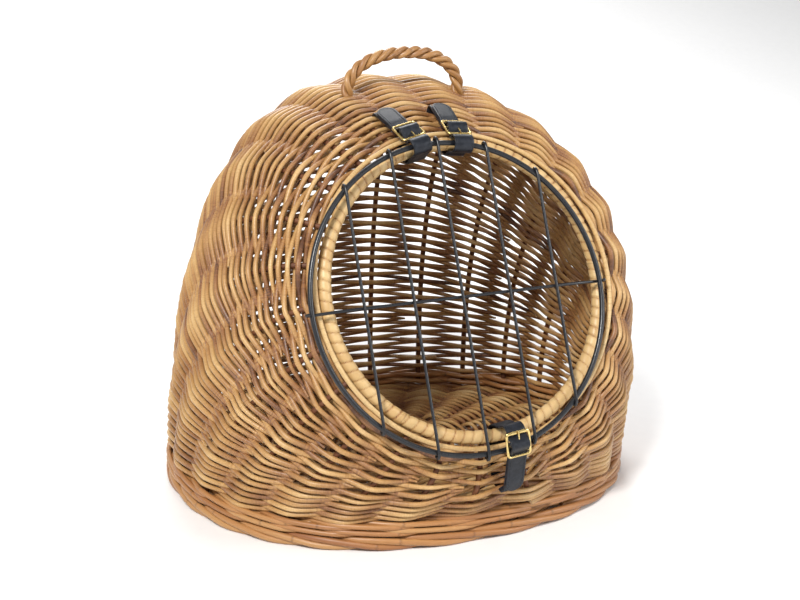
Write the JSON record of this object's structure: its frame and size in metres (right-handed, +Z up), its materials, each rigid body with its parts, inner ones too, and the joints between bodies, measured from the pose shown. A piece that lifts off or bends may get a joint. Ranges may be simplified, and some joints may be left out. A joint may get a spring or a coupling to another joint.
{
  "type": "wicker pet basket",
  "caption": "Willow pet basket with a round tilted mouth, a wire door on buckled leather straps, a latch strap and a twisted carrying handle.",
  "frame": {"origin": "Centre of the bounding box, on the surface that the basket stands on (the flat underside of the foot border is Z = 0).", "axes": "+Z is up. The mouth and its door face -Y. +X is to the right seen from the front."},
  "size_m": [0.48, 0.4689, 0.4406],
  "materials": {
    "willow": "buff peeled willow rods, satin, every rod a different tone",
    "brown_willow": "darker brown willow rods and sticks, satin",
    "pale_willow": "split willow skein, smooth and slightly glossy",
    "leather": "blue-black strap leather, stitched along the edges",
    "brass": "polished stamped brass",
    "wire": "steel wire, black coated, semi-gloss"
  },
  "bodies": {
    "basket": {"foot_border": "brown_willow", "floor_weave": "willow", "floor_stick_across_1": "brown_willow", "floor_stick_across_2": "brown_willow", "floor_stick_across_3": "brown_willow", "floor_stick_lengthwise_1": "brown_willow", "floor_stick_lengthwise_2": "brown_willow", "floor_stick_lengthwise_3": "brown_willow", "lower_wale": "brown_willow", "wall_weave": "willow", "stake_01": "brown_willow", "stake_02": "brown_willow", "stake_03": "brown_willow", "stake_04": "brown_willow", "stake_05": "brown_willow", "stake_06": "brown_willow", "stake_07": "brown_willow", "stake_08": "brown_willow", "stake_09": "brown_willow", "stake_10": "brown_willow", "stake_11": "brown_willow", "stake_12": "brown_willow", "stake_13": "brown_willow", "stake_14": "brown_willow", "stake_15": "brown_willow", "stake_16": "brown_willow", "stake_17": "brown_willow", "stake_18": "brown_willow", "stake_19": "brown_willow", "stake_20": "brown_willow", "stake_21": "brown_willow", "stake_22": "brown_willow", "stake_23": "brown_willow", "stake_24": "brown_willow", "stake_25": "brown_willow", "handle_strand_1": "willow", "handle_strand_2": "willow", "handle_strand_3": "willow", "rim_hoop": "brown_willow", "rim_binding": "pale_willow", "rim_rod": "pale_willow", "hinge_strap_left": "leather", "hinge_buckle_left": "brass", "hinge_strap_right": "leather", "hinge_buckle_right": "brass", "latch_loop": "leather"},
    "door": {"door_ring": "wire", "door_bar_1": "wire", "door_bar_2": "wire", "door_bar_3": "wire", "door_bar_4": "wire", "door_bar_5": "wire", "door_cross_bar": "wire"},
    "latch": {"latch_chape": "leather", "latch_strap": "leather", "latch_buckle": "brass"},
    "left_prong": {"hinge_prong_left": "brass"},
    "right_prong": {"hinge_prong_right": "brass"},
    "latch_prong": {"latch_prong": "brass"}
  },
  "joints": [
    {"name": "door_swing", "type": "hinge", "parent": "basket", "child": "door", "pos_m": [-0.0088, -0.10277, 0.36474], "axis": [-1, 0, 0], "range_deg": [0, 135]},
    {"name": "latch_swing", "type": "hinge", "parent": "basket", "child": "latch", "pos_m": [0.01805, -0.20805, 0.05548], "axis": [0.9956, 0.0383, 0.086], "range_deg": [0, 80]},
    {"name": "left_prong_lift", "type": "hinge", "parent": "basket", "child": "left_prong", "pos_m": [-0.03393, -0.08707, 0.37686], "axis": [-0.9759, -0.0887, -0.1993], "range_deg": [0, 70]},
    {"name": "right_prong_lift", "type": "hinge", "parent": "basket", "child": "right_prong", "pos_m": [0.01432, -0.08761, 0.37676], "axis": [-0.9956, 0.0383, 0.086], "range_deg": [0, 70]},
    {"name": "latch_prong_lift", "type": "hinge", "parent": "latch", "child": "latch_prong", "pos_m": [0.01411, -0.22845, 0.11021], "axis": [0.9956, 0.0383, 0.086], "range_deg": [0, 70]}
  ]
}
